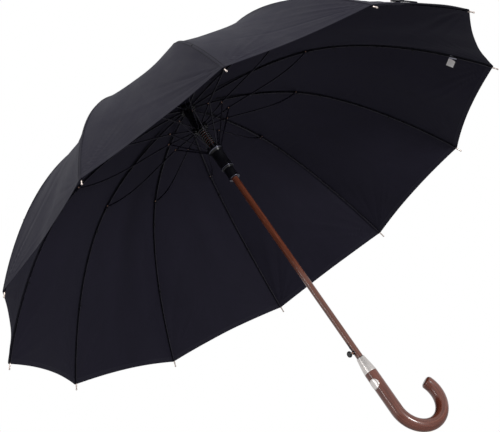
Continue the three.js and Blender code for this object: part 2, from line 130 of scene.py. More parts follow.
# ---- shape building ----
class Shape:
    """Vertices, faces, UVs in metres and a material number for each face of one piece."""

    def __init__(self):
        self.points = []
        self.faces = []
        self.uvs = []
        self.slots = []

    def grid(self, points, uv=None, slot=0, wrap=False, caps=False):
        """A sheet of rows by columns of points; wrap joins its last column to its first."""
        points = np.asarray(points, float)
        rows, columns = points.shape[:2]
        base = len(self.points)
        self.points.extend(points.reshape(-1, 3))
        if uv is None:
            along = np.r_[0, np.cumsum(np.linalg.norm(np.diff(points[:, 0], axis=0), axis=1))]
            round_it = np.linalg.norm(points[rows // 2, 0] - points[rows // 2, 1]) * np.arange(columns + 1)
            uv = np.stack(np.broadcast_arrays(round_it[None, :], along[:, None]), -1) * MM
        steps = columns if wrap else columns - 1
        for i in range(rows - 1):
            for j in range(steps):
                k = (j + 1) % columns
                self.faces.append((base + i * columns + j, base + i * columns + k,
                                   base + (i + 1) * columns + k, base + (i + 1) * columns + j))
                self.uvs.append((uv[i, j], uv[i, j + 1], uv[i + 1, j + 1], uv[i + 1, j]))
                self.slots.append(slot)
        if caps:
            for row in (0, rows - 1):
                self.faces.append(tuple(base + row * columns + j for j in range(columns)))
                self.uvs.append(tuple(p[:2] * MM for p in points[row]))
                self.slots.append(slot)
        return self

    def sweep(self, path, section, side=(0, 1, 0), slot=0, scale=None):
        """A section swept along a path. The section's first axis follows side, its second stays across."""
        path = np.asarray(path, float)
        section = np.asarray(section, float)
        along = np.gradient(path, axis=0)
        along /= np.linalg.norm(along, axis=1)[:, None]
        first = np.broadcast_to(np.asarray(side, float), path.shape)
        first = first - (first * along).sum(1)[:, None] * along
        first = first / np.linalg.norm(first, axis=1)[:, None]
        second = np.cross(first, along)
        scale = np.ones(len(path)) if scale is None else np.asarray(scale, float)
        if scale.ndim == 1:
            scale = np.stack([scale, scale], 1)
        points = (path[:, None] + first[:, None] * (section[:, 0] * scale[:, :1])[..., None]
                  + second[:, None] * (section[:, 1] * scale[:, 1:])[..., None])
        return self.grid(points, slot=slot, wrap=True, caps=True)

    def lathe(self, profile, sides=48, slot=0, centre=(0, 0, 0), axis=(0, 0, 1)):
        """A profile of (radius, height) turned about an axis."""
        turn = Vector((0, 0, 1)).rotation_difference(Vector(axis)).to_matrix()
        angles = np.arange(sides) * 2 * math.pi / sides
        profile = np.asarray(profile, float)
        points = np.stack([profile[:, :1] * np.cos(angles), profile[:, :1] * np.sin(angles),
                           np.repeat(profile[:, 1:], sides, 1)], -1)
        points = points @ np.array(turn).T + np.asarray(centre, float)
        return self.grid(points, slot=slot, wrap=True)

    def make(self, name, materials, body, slot, replaces=(), turn=0.0, data=None):
        """The piece as an object. Given data, it shares that mesh."""
        if data is None:
            data = self.mesh(name, materials)
        obj = bpy.data.objects.new(name, data)
        bpy.context.scene.collection.objects.link(obj)
        obj.matrix_world = Matrix.Rotation(turn, 4, "Z")
        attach(obj, body)
        if replaces:
            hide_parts(*replaces)
        return obj

    def mesh(self, name, materials):
        data = bpy.data.meshes.new(name)
        data.from_pydata([tuple(p * MM for p in q) for q in self.points], [], self.faces)
        layer = data.uv_layers.new(name="UVMap")
        flat = [c for face in self.uvs for corner in face for c in corner]
        layer.data.foreach_set("uv", flat)
        data.polygons.foreach_set("material_index", self.slots)
        for m in materials:
            data.materials.append(m)
        bm = bmesh.new()
        bm.from_mesh(data)
        bmesh.ops.remove_doubles(bm, verts=bm.verts, dist=WELD)
        bmesh.ops.dissolve_degenerate(bm, edges=bm.edges, dist=1e-7)
        bmesh.ops.recalc_face_normals(bm, faces=bm.faces)
        for face in bm.faces:
            face.smooth = True
        mark_sharp_edges(bm)
        bm.to_mesh(data)
        bm.free()
        return data


def mark_sharp_edges(bm):
    for edge in bm.edges:
        edge.smooth = len(edge.link_faces) == 2 and edge.calc_face_angle() < SHARP_ANGLE


def rounded(corners, radius, steps=3, closed=False):
    """The corners of a profile with each one rounded off. A closed profile repeats no corner."""
    corners = [np.asarray(c, float) for c in corners]
    made = []
    count = len(corners)
    for i, corner in enumerate(corners):
        if not closed and i in (0, count - 1):
            made.append(corner)
            continue
        before = corners[i - 1] - corner
        after = corners[(i + 1) % count] - corner
        a = np.linalg.norm(before)
        b = np.linalg.norm(after)
        cut = min(radius, 0.45 * a, 0.45 * b)
        start = corner + before / a * cut
        end = corner + after / b * cut
        for k in range(steps + 1):
            t = k / steps
            made.append((1 - t) ** 2 * start + 2 * t * (1 - t) * corner + t * t * end)
    if closed:
        made.append(made[0])
    return np.array(made)


def looped(profile):
    """A profile that comes back to its first point, for a piece with a bore."""
    return np.vstack([profile, profile[:1]])


def bezier(ends, t):
    t = np.asarray(t, float)[..., None]
    a, b, c, d = ends
    return (1 - t) ** 3 * a + 3 * t * (1 - t) ** 2 * b + 3 * t * t * (1 - t) * c + t ** 3 * d


def bezier_along(ends, t):
    t = np.asarray(t, float)[..., None]
    a, b, c, d = ends
    along = (1 - t) ** 2 * (b - a) + 2 * t * (1 - t) * (c - b) + t * t * (d - c)
    return along / np.linalg.norm(along, axis=-1, keepdims=True)


def in_plane(points, y=0.0):
    """(r, z) points as places in the bay's radial plane."""
    points = np.asarray(points, float)
    return np.stack([points[..., 0], np.full(points.shape[:-1], y), points[..., 1]], -1)


def box_section(width, height, radius):
    w = width / 2
    h = height / 2
    return rounded([(-w, -h), (w, -h), (w, h), (-w, h)], radius, 2, closed=True)[:-1]


def circle(radius, sides=12):
    a = np.arange(sides) * 2 * math.pi / sides
    return np.stack([radius * np.cos(a), radius * np.sin(a)], 1)


# ---- materials ----
class Look:
    """A material and short ways to wire its nodes."""

    def __init__(self, name, color, roughness, metallic=0.0, **sockets):
        self.material = bpy.data.materials.new(name)
        self.material.use_nodes = True
        self.tree = self.material.node_tree
        self.shader = self.tree.nodes["Principled BSDF"]
        self.shader.inputs["Base Color"].default_value = (*color, 1)
        self.shader.inputs["Roughness"].default_value = roughness
        self.shader.inputs["Metallic"].default_value = metallic
        for key, value in sockets.items():
            self.shader.inputs[key.replace("_", " ")].default_value = value

    def node(self, kind, inputs=(), **settings):
        node = self.tree.nodes.new("ShaderNode" + kind)
        for key, value in settings.items():
            setattr(node, key, value)
        for key, value in dict(inputs).items():
            if isinstance(value, bpy.types.NodeSocket):
                self.tree.links.new(value, node.inputs[key])
            else:
                node.inputs[key].default_value = value
        return node

    def place(self, scale=(1, 1, 1), use_uv=True):
        """A coordinate in metres, from the UV map or from the object, stretched by scale."""
        if use_uv:
            source = self.node("UVMap", uv_map="UVMap").outputs["UV"]
        else:
            source = self.node("TexCoord").outputs["Object"]
        return self.node("Mapping", {"Vector": source, "Scale": scale}).outputs["Vector"]

    def noise(self, vector, scale, detail=4.0, roughness=0.55, distortion=0.0):
        return self.node("TexNoise", {"Vector": vector, "Scale": scale, "Detail": detail,
                                      "Roughness": roughness, "Distortion": distortion}).outputs["Fac"]

    def ramp(self, value, stops):
        node = self.node("ValToRGB", {"Fac": value})
        elements = node.color_ramp.elements
        while len(elements) < len(stops):
            elements.new(0.5)
        for element, (place, color) in zip(elements, stops):
            element.position = place
            element.color = (*color, 1)
        return node.outputs["Color"]

    def remap(self, value, low, high, from_low=0.0, from_high=1.0):
        return self.node("MapRange", {"Value": value, "From Min": from_low, "From Max": from_high,
                                      "To Min": low, "To Max": high}).outputs["Result"]

    def math(self, operation, a, b=0.0):
        return self.node("Math", {0: a, 1: b}, operation=operation).outputs[0]

    def mix(self, factor, a, b):
        colors = [c if isinstance(c, bpy.types.NodeSocket) else (*c, 1) for c in (a, b)]
        return self.node("Mix", {0: factor, 6: colors[0], 7: colors[1]}, data_type="RGBA").outputs[2]

    def to(self, socket, value):
        self.tree.links.new(value, self.shader.inputs[socket])
        return self

    def bump(self, height, distance, strength=1.0, after=None):
        inputs = {"Height": height, "Distance": distance, "Strength": strength}
        if after is not None:
            inputs["Normal"] = after
        return self.node("Bump", inputs).outputs["Normal"]


def wood_look(name, dark, middle, light, roughness, coat, scale):
    look = Look(name, middle, roughness, Coat_Weight=coat, Coat_Roughness=0.12)
    long_grain = look.place((1, 0.035, 1))
    fibre = look.noise(long_grain, scale, 6, 0.62, 0.6)
    pores = look.noise(look.place((1, 0.02, 1)), scale * 5, 3, 0.7)
    cloudy = look.noise(look.place((1, 0.3, 1)), 45, 2)
    tone = look.math("ADD", look.math("MULTIPLY", fibre, 0.8), look.math("MULTIPLY", cloudy, 0.22))
    color = look.ramp(tone, [(0.36, dark), (0.5, middle), (0.66, light)])
    pits = look.ramp(pores, [(0.56, (0, 0, 0)), (0.7, (1, 1, 1))])
    look.to("Base Color", look.mix(look.math("MULTIPLY", pits, 0.55), color, dark))
    look.to("Roughness", look.remap(fibre, roughness - 0.06, roughness + 0.1, 0.3, 0.7))
    look.to("Normal", look.bump(pores, 0.00006, 0.5))
    return look.material


def metal_look(name, color, roughness, brushed=(1, 1, 1), scale=900, metallic=1.0, depth=0.00001):
    look = Look(name, color, roughness, metallic)
    marks = look.noise(look.place(brushed), scale, 3, 0.6)
    dull = look.noise(look.place((1, 1, 1), False), 60, 3)
    look.to("Roughness", look.remap(dull, roughness - 0.05, roughness + 0.09, 0.3, 0.7))
    darker = tuple(c * 0.82 for c in color)
    look.to("Base Color", look.ramp(marks, [(0.3, darker), (0.7, color)]))
    look.to("Normal", look.bump(marks, depth, 0.4))
    return look.material


def painted_look(name, color, worn, roughness, metallic=0.0, coat=0.0):
    """Black coatings and mouldings: a fine orange peel and slightly paler rubbed patches."""
    look = Look(name, color, roughness, metallic, Coat_Weight=coat, Coat_Roughness=0.2)
    place = look.place((1, 1, 1), False)
    peel = look.noise(place, 700, 2)
    patch = look.noise(place, 55, 4, 0.65)
    look.to("Base Color", look.ramp(patch, [(0.45, color), (0.72, worn)]))
    look.to("Roughness", look.remap(patch, roughness - 0.07, roughness + 0.12, 0.3, 0.7))
    look.to("Normal", look.bump(peel, 0.00003, 0.35))
    return look.material


def cloth_look(name, color, pale, thread, stitched):
    """Closely woven pongee: a fine warp and weft, soft cloudy tone, and hem stitches in thread."""
    look = Look(name, color, 0.62, Sheen_Weight=0.06, Sheen_Roughness=0.45,
                Specular_IOR_Level=0.12)
    look.shader.inputs["Sheen Tint"].default_value = (0.6, 0.62, 0.75, 1)
    place = look.place()
    yarn = {"Vector": place, "Scale": 420.0, "Distortion": 0.6, "Detail": 1.0}
    warp, weft = (look.node("TexWave", yarn, bands_direction=way).outputs["Fac"] for way in "XY")
    weave = look.math("MULTIPLY", warp, weft)
    cloud = look.noise(look.place((1, 0.35, 1)), 26, 4, 0.6)
    slub = look.noise(look.place((1, 0.03, 1)), 900, 2)
    tone = look.math("ADD", look.math("MULTIPLY", cloud, 0.75), look.math("MULTIPLY", slub, 0.25))
    shade = look.ramp(tone, [(0.34, color), (0.68, pale)])
    if stitched:
        parts = look.node("SeparateXYZ", {"Vector": look.node("UVMap", uv_map="Hem").outputs["UV"]})
        from_line = look.math("ABSOLUTE", look.math("SUBTRACT", parts.outputs["Y"], HEM_WIDTH * MM))
        on_line = look.math("LESS_THAN", from_line, 0.00035)
        stitch = look.math("FRACT", look.math("DIVIDE", parts.outputs["X"], 0.003))
        dash = look.math("LESS_THAN", stitch, 0.68)
        turned = look.math("LESS_THAN", parts.outputs["Y"], HEM_WIDTH * MM)
        shade = look.mix(look.math("MULTIPLY", turned, 0.22), shade, thread)
        shade = look.mix(look.math("MULTIPLY", on_line, dash), shade, thread)
    look.to("Base Color", shade)
    look.to("Roughness", look.remap(cloud, 0.56, 0.7, 0.3, 0.7))
    crumple = look.noise(look.place((1, 0.6, 1)), 70, 5, 0.6, 0.4)
    normal = look.bump(crumple, 0.0009, 0.35)
    look.to("Normal", look.bump(weave, 0.00005, 0.5, normal))
    return look.material


WOOD = wood_look("lacquered_wood", (0.09, 0.0215, 0.0105), (0.195, 0.051, 0.029), (0.275, 0.082, 0.049),
                 0.22, 0.8, 420)
FILM = wood_look("shaft_film", (0.115, 0.03, 0.014), (0.19, 0.052, 0.026), (0.26, 0.08, 0.044),
                 0.22, 0.9, 620)
SILVER = metal_look("nickel", (0.93, 0.88, 0.85), 0.3, (0.04, 1, 1), 1500)
CHROME = metal_look("dark_chrome", (0.13, 0.13, 0.165), 0.24, (0.04, 1, 1), 1500)
COPPER = metal_look("copper_rivet", (0.72, 0.42, 0.32), 0.34)
PIN = metal_look("tip_metal", (0.9, 0.78, 0.72), 0.25)
STEEL = painted_look("black_steel", (0.011, 0.0095, 0.019), (0.024, 0.021, 0.036), 0.26, 0.45, 0.1)
BLACK = painted_look("black_plastic", (0.004, 0.004, 0.006), (0.009, 0.009, 0.013), 0.3, 0.0, 0.2)
SPRING = painted_look("spring_steel", (0.012, 0.012, 0.017), (0.022, 0.022, 0.03), 0.14, 0.4, 1.0)
CLOTH = cloth_look("canopy_cloth", (0.0148, 0.0132, 0.0245), (0.019, 0.017, 0.0305),
                   (0.03, 0.03, 0.042), True)
TAPE = cloth_look("seam_tape", (0.006, 0.0056, 0.0095), (0.0085, 0.008, 0.013),
                  (0.02, 0.02, 0.03), False)
THREAD = painted_look("sewing_thread", (0.004, 0.004, 0.006), (0.009, 0.009, 0.012), 0.7)


def label_look():
    """A blank woven label: satin white, with a greyer, bluish band of painted shade where it is sewn on,
    beside the seam and rib.
    """
    look = Look("label_satin", (0.8, 0.78, 0.78), 0.45, Sheen_Weight=0.3)
    weave = look.noise(look.place((1, 0.15, 1)), 2500, 2)
    cloud = look.noise(look.place(), 260, 3)
    parts = look.node("SeparateXYZ", {"Vector": look.place()})
    along = look.math("DIVIDE", parts.outputs["Y"], LABEL_LENGTH * MM)
    along = look.math("ADD", along, look.math("MULTIPLY", cloud, 0.06))
    # painted shade: greyer and bluer from the sewn end, darkest just before the white part, where the seam
    # and rib shade the label
    look.to("Base Color", look.ramp(along, [
        (0.0, (0.6, 0.6, 0.7)), (0.27, (0.5, 0.5, 0.6)), (0.34, (0.3, 0.3, 0.37)),
        (0.42, (0.85, 0.8, 0.79)), (1.0, (0.92, 0.89, 0.88))]))
    look.to("Normal", look.bump(weave, 0.00005, 0.6))
    return look.material


LABEL = label_look()


# ---- shaft, handle and top ----
def make_shaft():
    shape = Shape()
    profile = rounded([(SHAFT_BORE, SHAFT_FOOT), (SHAFT_RADIUS, SHAFT_FOOT),
                       (SHAFT_RADIUS, SHAFT_TOP), (SHAFT_BORE, SHAFT_TOP)], 0.3)
    shape.lathe(looped(profile), 40)
    shape.make("shaft_tube", [FILM], "stick", "shaft_film", ["shaft"])
    catch = Shape()
    blade = [(0, 0), (1.5, 2.5), (1.9, 5), (1.5, 6.5), (0.3, 18), (0, 19)]
    foot = BUTTON_HEIGHT + 5
    outline = rounded([(-(SHAFT_RADIUS - 0.5 + r), foot + z) for r, z in blade], 0.6, 2, closed=True)[:-1]
    points = np.array([in_plane(outline, y) for y in (-0.9, 0.9)])
    catch.grid(points, wrap=True, caps=True)
    catch.make("catch_blade", [STEEL], "stick", "black_steel")


def crook_line(s):
    """Places along the handle's middle line, down the straight grip and round the crook."""
    straight = GRIP_TOP - BEND_START
    angle = np.clip((s - straight) / BEND_RADIUS, 0, None)
    x = BEND_RADIUS * (1 - np.cos(angle))
    z = np.where(s <= straight, GRIP_TOP - s, BEND_START - BEND_RADIUS * np.sin(angle))
    return np.stack([x, np.zeros_like(x), z], 1)


def make_handle():
    end = GRIP_TOP - BEND_START + BEND_RADIUS * BEND_ANGLE
    edge = CROOK_ROUNDING
    rows = np.r_[np.linspace(0, end - edge, 140, endpoint=False),
                 end - edge + edge * np.sin(np.linspace(0, math.pi / 2, 9))]
    into = np.clip((rows - (end - edge)) / edge, 0, 1)
    scale = 1 - edge / GRIP_RADIUS * (1 - np.sqrt(1 - into ** 2))
    shape = Shape()
    shape.sweep(crook_line(rows), circle(GRIP_RADIUS, 48), scale=scale)
    shape.make("crook", [WOOD], "stick", "wood", ["crook_handle"])
    collar = Shape()
    profile = rounded([(RUNNER_BORE, 31), (11.35, 31), (11.45, 32), (11.3, 34), (10.1, 45), (8.0, 59.5),
                       (7.75, 61.5), (7.2, 63.5), (RUNNER_BORE, 63.5)], 0.6)
    collar.lathe(looped(profile), 72)
    collar.make("collar", [SILVER], "stick", "silver", ["handle_collar"])


def make_badge():
    """A blank oval plate wrapped on the grip, near its -X side, with a raised rim."""
    shape = Shape()
    rings = [(0.0, 0.42), (0.45, 0.42), (0.74, 0.4), (0.8, 0.3), (0.85, 0.3), (0.89, 0.62), (0.95, 0.66),
             (0.99, 0.5), (1.0, 0.0), (1.0, -0.5), (0.0, -0.5)]
    a = np.arange(64) * 2 * math.pi / 64
    rows = []
    for reach, lift in rings:
        turn = BADGE_HALF_TURN * reach * np.cos(a)
        height = BADGE_HEIGHT + BADGE_HALF_HEIGHT * reach * np.sin(a)
        r = GRIP_RADIUS + lift
        rows.append(np.stack([-r * np.cos(turn), -r * np.sin(turn), height], 1))
    shape.grid(np.array(rows), wrap=True)
    shape.make("badge", [SILVER], "stick", "silver", ["handle_badge"], BADGE_TURN)


def make_button():
    centre = (0, 0, BUTTON_HEIGHT)
    shape = Shape()
    stem = rounded([(0, 4.9), (2, 4.9), (2, 10.2), (2.35, 10.5), (2.35, 11.6), (2, 11.9), (2, 13.6),
                    (0, 13.6)], 0.25)
    cap = rounded([(0, 13.4), (5.1, 13.4), (5.7, 14.2), (5.7, 16.2), (4.7, 17.7), (2.0, 17.3),
                   (0, 17.1)], 0.8)
    shape.lathe(stem, 32, 1, centre, (-1, 0, 0))
    shape.lathe(cap, 40, 0, centre, (-1, 0, 0))
    shape.make("button", [BLACK, COPPER], "release_button", "black_plastic", ["release_button"])
    bush = Shape()
    profile = rounded([(2.4, 5.6), (3.6, 5.6), (3.5, 6.9), (3.0, 7.3), (2.4, 7.2)], 0.2)
    bush.lathe(looped(profile), 32, 0, centre, (-1, 0, 0))
    bush.make("button_bush", [STEEL], "stick", "black_steel")


def make_top():
    ferrule = Shape()
    ferrule.lathe(rounded([(0, 668.5), (7.2, 668.5), (7.3, 672), (5.7, 675.5), (5.3, 708), (4.2, 754.5),
                           (4.1, 755.6)], 0.9), 56)
    ferrule.lathe(rounded([(4.1, 755.6), (4.75, 756.2), (4.75, 762.6), (4.2, 764), (0, 764)], 0.5), 56, 1)
    ferrule.make("ferrule_spike", [BLACK, CHROME], "stick", "black_plastic", ["ferrule"])
    cap = Shape()
    a = np.arange(96) * 2 * math.pi / 96
    rows = []
    for r, z, wave in [(8.4, 661.6, 0), (23.6, 660.2, 0.25), (24.4, 660.5, 0.5),
                       (CAP_RADIUS, 661.2, 0.5), (23.4, 661.9, 0.5), (18, 663.6, 0.35),
                       (12.5, 665.3, 0.15), (9.4, 666.6, 0), (8.4, 668, 0), (8.4, 661.6, 0)]:
        lift = wave * np.cos(RIB_COUNT * a)
        rows.append(np.stack([r * np.cos(a), r * np.sin(a), z + lift], 1))
    cap.grid(np.array(rows), wrap=True)
    piece = cap.make("cap_rosette", [CLOTH], "stick", "cloth", ["canopy_cap"])
    hem_uv(piece.data, 1.0)


def hem_uv(data, far):
    """A second UV map for pieces of cloth that have no hem stitches near."""
    layer = data.uv_layers.new(name="Hem")
    layer.data.foreach_set("uv", [far] * (2 * len(layer.data)))


# ---- hub pieces ----
def cut_slots(data, cuts, bays=range(RIB_COUNT)):
    """Cuts radial slots, open outwards, with an exact boolean."""
    bm = bmesh.new()
    for low, high, floor, width, offset in cuts:
        for i in bays:
            made = bmesh.ops.create_cube(bm, size=1)["verts"]
            place = (Matrix.Rotation(i * RIB_STEP, 4, "Z")
                     @ Matrix.Translation(((floor + 20) / 2 * MM, offset * MM, (low + high) / 2 * MM))
                     @ Matrix.Diagonal(((20 - floor) * MM, width * MM, (high - low) * MM, 1)))
            bmesh.ops.transform(bm, matrix=place, verts=made)
    cutter_data = bpy.data.meshes.new("slot_cutter")
    bm.to_mesh(cutter_data)
    bm.free()
    cutter = bpy.data.objects.new("slot_cutter", cutter_data)
    target = bpy.data.objects.new("slot_target", data)
    for obj in (cutter, target):
        bpy.context.scene.collection.objects.link(obj)
    modifier = target.modifiers.new("slots", "BOOLEAN")
    modifier.operation = "DIFFERENCE"
    modifier.solver = "EXACT"
    modifier.use_self = len(cuts) > 1
    modifier.object = cutter
    shaped = bpy.data.meshes.new_from_object(
        target.evaluated_get(bpy.context.evaluated_depsgraph_get()))
    for obj in (cutter, target):
        bpy.data.objects.remove(obj)
    bm = bmesh.new()
    bm.from_mesh(shaped)
    bmesh.ops.remove_doubles(bm, verts=bm.verts, dist=WELD)
    bmesh.ops.dissolve_degenerate(bm, edges=bm.edges, dist=1e-6)
    mark_sharp_edges(bm)
    bm.to_mesh(shaped)
    bm.free()
    return shaped


def make_hubs():
    notch = Shape()
    profile = rounded([(RUNNER_BORE, 643), (15.4, 643), (15.5, 651), (11, 652.2), (8.2, 653.2), (8.2, 658),
                       (RUNNER_BORE, 658)], 0.7)
    notch.lathe(looped(profile), 72)
    data = cut_slots(notch.mesh("notch_body", [BLACK]), [(642, 654, 9.6, 3.0, 0)])
    notch.make("notch_body", [BLACK], "stick", "black_plastic", ["top_notch"], data=data)

    upper = Shape()
    profile = rounded([(RUNNER_BORE, 595), (15.3, 595), (15.5, 603.5), (14.6, 605), (9.9, 605.2), (9.8, 612),
                       (9.5, 614), (9.6, 641.2), (RUNNER_BORE, 641.2)], 0.7)
    upper.lathe(looped(profile), 72)
    data = cut_slots(upper.mesh("upper_runner_body", [BLACK]),
                     [(594, 606, 9.8, 2.3, STRUT_OFFSET), (594, 606, 12.5, 2.2, LINK_OFFSET)])
    upper.make("upper_runner_body", [BLACK], "upper_runner", "black_plastic", ["upper_runner"], data=data)

    lower = Shape()
    profile = rounded([(RUNNER_BORE, 477), (9.9, 477), (9.7, 480), (9.9, 498), (11.3, 499.5), (11.3, 504.5),
                       (11.6, 506), (11.7, 538), (14.4, 543), (14.9, 544), (14.9, 551), (14.3, 552),
                       (RUNNER_BORE, 552)], 0.6)
    lower.lathe(looped(profile), 72)
    data = cut_slots(lower.mesh("lower_runner_body", [BLACK]), [(543, 553, 9.8, 2.2, LINK_OFFSET)])
    data = cut_slots(data, [CATCH_SLOT], [RIB_COUNT // 2])
    lower.make("lower_runner_body", [BLACK], "lower_runner", "black_plastic", ["lower_runner"], data=data)
    rims = Shape()
    for corners in ([(RUNNER_BORE, 475.5), (10.4, 475.5), (11.2, 476.3), (11.2, 477.2), (10.4, 478),
                     (RUNNER_BORE, 478)],
                    [(9.7, 500.4), (12.2, 500.6), (12.7, 501.4), (12.7, 502.8), (12.2, 503.6),
                     (9.7, 503.8)],
                    [(11.2, 540.6), (13.4, 541.4), (15.1, 543.4), (15.1, 544.3), (13.8, 544.6),
                     (11.2, 543.8)]):
        profile = rounded(corners, 0.5)
        rims.lathe(looped(profile), 72)
    data = cut_slots(rims.mesh("lower_runner_rims", [CHROME]), [CATCH_SLOT], [RIB_COUNT // 2])
    rims.make("lower_runner_rims", None, "lower_runner", "black_plastic", (), 0.0, data)


def make_spring():
    turns, radius, wire = 9, 8.2, 1.6
    t = np.linspace(0, 1, turns * 28 + 1)
    low, high = RUNNER_LOW + wire, RUNNER_HIGH - wire - 0.05
    dead = 0.55 / turns  # flat end coils
    rise = np.clip((t - dead) / (1 - 2 * dead), 0, 1)
    z = low + (high - low) * rise
    a = 2 * math.pi * turns * t
    path = np.stack([radius * np.cos(a), radius * np.sin(a), z], 1)
    outward = np.stack([np.cos(a), np.sin(a), np.zeros_like(a)], 1)
    shape = Shape()
    shape.sweep(path, circle(wire, 12), side=outward)
    spring = shape.make("coil_spring", [SPRING], "upper_runner", "spring_steel", ["opening_spring"])
    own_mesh(spring)


# ---- one bay's bars ----
def rivet(shape, centre, low, high, radius=1.35, slot=1):
    """A rivet through a joint, with a domed head at each side."""
    for y, side in ((low, -1), (high, 1)):
        dome = [(0, -0.5), (radius, -0.5), (radius, 0), (radius * 0.94, 0.28), (radius * 0.7, 0.55),
                (radius * 0.35, 0.72), (0, 0.76)]
        shape.lathe(dome, 20, slot, in_plane(np.array(centre), y), (0, side, 0))


def eye(shape, centre, radius, width, offset, slot=0):
    """A flat round eye at the end of a bar."""
    h = width / 2
    profile = rounded([(0, -h), (radius, -h), (radius, h), (0, h)], 0.3, 2)
    shape.lathe(profile, 28, slot, in_plane(np.array(centre), offset), (0, 1, 0))


def channel_section(width, height, wall):
    """A U-shaped rib section, open away from the cloth; the second axis points at the cloth."""
    w = width / 2
    h = height / 2
    corners = [(-w, -h), (-w, h), (w, h), (w, -h), (w - wall, -h), (w - wall, h - wall),
               (wall - w, h - wall), (wall - w, -h)]
    return rounded(corners, 0.28, 2, closed=True)[:-1]


def side_plates(shape, centre, along, length, height, inner, outer, slot=0):
    """A pair of pressed plates astride a joint."""
    along = np.asarray(along, float) / np.linalg.norm(along)
    across = np.array([-along[1], along[0]])
    half = length / 2
    corners = [(-half, -height / 2), (half, -height * 0.36), (half, height * 0.36), (-half, height / 2)]
    outline = rounded(corners, height * 0.4, 3, closed=True)[:-1]
    flat = np.array(centre) + outline[:, :1] * along + outline[:, 1:] * across
    for y in (inner, outer):
        near, far = y - 0.25, y + 0.25
        shape.grid(np.array([in_plane(flat, near), in_plane(flat, far)]), slot=slot, wrap=True, caps=True)


def thread_tie(shape, share_t, wraps=3):
    """A few turns of thread round the rib and through the cloth's seam."""
    centre = bezier(OUTER_RIB, share_t)
    along = bezier_along(OUTER_RIB, share_t)
    across = np.array([-along[1], along[0]])
    for k in range(wraps):
        middle = centre + along * (k - (wraps - 1) / 2) * 0.75 + across * 1.1
        a = np.linspace(0, 2 * math.pi, 21)
        ring = (in_plane(middle)[None, :] + np.outer(np.cos(a) * 1.75, (0, 1, 0))
                + np.outer(np.sin(a) * 2.75, (across[0], 0, across[1])))
        shape.sweep(ring, circle(0.42, 8), side=(along[0], 0, along[1]), slot=2)
    knot = [(0, -1.3), (1.0, -0.9), (1.35, 0), (1.0, 0.9), (0, 1.3)]
    low = in_plane(centre - across * 2.0)
    shape.lathe(knot, 12, 2, low, (0, 1, 0))
    end = in_plane(centre - across * 8 + along * 3, 7)
    t = np.linspace(0, 1, 9)[:, None]
    loose = low * (1 - t) + end * t + np.sin(t * math.pi) * np.array([0, -1.6, 0.8])
    shape.sweep(loose, circle(0.32, 6), side=(along[0], 0, along[1]), slot=2)


def make_bars():
    rib = Shape()
    line = bezier(INNER_RIB, np.linspace(0.006, 0.992, 60))
    rib.sweep(in_plane(line), channel_section(*RIB_SECTION, 0.55))
    for joint in (NOTCH_PIVOT, RIB_JOINT):
        eye(rib, joint, EYE_RADIUS, RIB_SECTION[0], 0)
    rib_data = rib.mesh("rib_bar", [STEEL, COPPER])

    end = Shape()
    t = np.linspace(0.012, 0.992, 84)
    taper = np.stack([np.linspace(1, 0.86, len(t)), np.linspace(1, 0.75, len(t))], 1)
    end.sweep(in_plane(bezier(OUTER_RIB, t)), channel_section(*OUTER_RIB_SECTION, 0.5), scale=taper)
    for share_t in TIES:
        thread_tie(end, share_t)
    start_along = bezier_along(OUTER_RIB, 0.0)
    side_plates(end, RIB_JOINT + start_along * 6.5, start_along, 13, 4.2, -1.5, 1.5)
    tip_along = bezier_along(OUTER_RIB, 1.0)
    axis = (tip_along[0], 0, tip_along[1])
    tip = in_plane(RIB_TIP)
    tube = rounded([(0, -7), (1.5, -7), (1.55, -1.5), (1.2, -0.6), (1.2, 2.2), (0, 2.2)], 0.3)
    end.lathe(tube, 24, 3, tip, axis)
    ball = [(0, 1.6), (0.9, 1.9), (1.5, 2.7), (1.75, 3.9), (1.5, 5.1), (0.9, 5.8), (0, 6.0)]
    end.lathe(rounded(ball, 0.5), 24, 3, tip, axis)
    end_data = end.mesh("rib_end_bar", [STEEL, COPPER, THREAD, PIN])

    strut = Shape()
    run = (RIB_JOINT - STRUT_JOINT) * 0.35
    sag = np.array([run[1], -run[0]])
    sag *= STRUT_BOW / np.linalg.norm(sag)
    bowed = (STRUT_JOINT, STRUT_JOINT + run + 0.4 * sag, RIB_JOINT - run + 2.2 * sag, RIB_JOINT)
    straight = UPPER_PIVOT + np.outer(np.linspace(0.02, 1, 12)[:-1], STRUT_JOINT - UPPER_PIVOT)
    line = np.vstack([straight, bezier(bowed, np.linspace(0, 0.995, 50))])
    strut.sweep(in_plane(line, STRUT_OFFSET), box_section(*STRUT_SECTION, BAR_ROUNDING))
    for joint, radius in ((UPPER_PIVOT, EYE_RADIUS), (RIB_JOINT, EYE_RADIUS), (STRUT_JOINT, 2.5)):
        eye(strut, joint, radius, STRUT_SECTION[0], STRUT_OFFSET)
    side_plates(strut, STRUT_JOINT, STRUT_JOINT - UPPER_PIVOT, 11, 4.4, -3.5, -3.5)
    rivet(strut, STRUT_JOINT, -3.75, 0.5, 1.45)
    rivet(strut, RIB_JOINT, -3.3, 1.75, 1.35)
    strut_data = strut.mesh("strut_bar", [STEEL, COPPER])

    link = Shape()
    along = STRUT_JOINT - LOWER_PIVOT
    line = LOWER_PIVOT + np.outer(np.linspace(0.02, 0.98, 16), along)
    link.sweep(in_plane(line, LINK_OFFSET), box_section(*LINK_SECTION, BAR_ROUNDING))
    for joint, radius in ((LOWER_PIVOT, 2.0), (STRUT_JOINT, EYE_RADIUS)):
        eye(link, joint, radius, LINK_SECTION[0], LINK_OFFSET)
    link_data = link.mesh("link_bar", [STEEL])

    for i in range(RIB_COUNT):
        number = f"{i + 1:02d}"
        for kind, shape, data in (("rib", rib, rib_data), ("rib_end", end, end_data),
                                  ("strut", strut, strut_data), ("link", link, link_data)):
            node = f"{kind}_{number}"
            shape.make(f"{kind}_bar_{number}", None, node, "black_steel", [node], i * RIB_STEP, data)


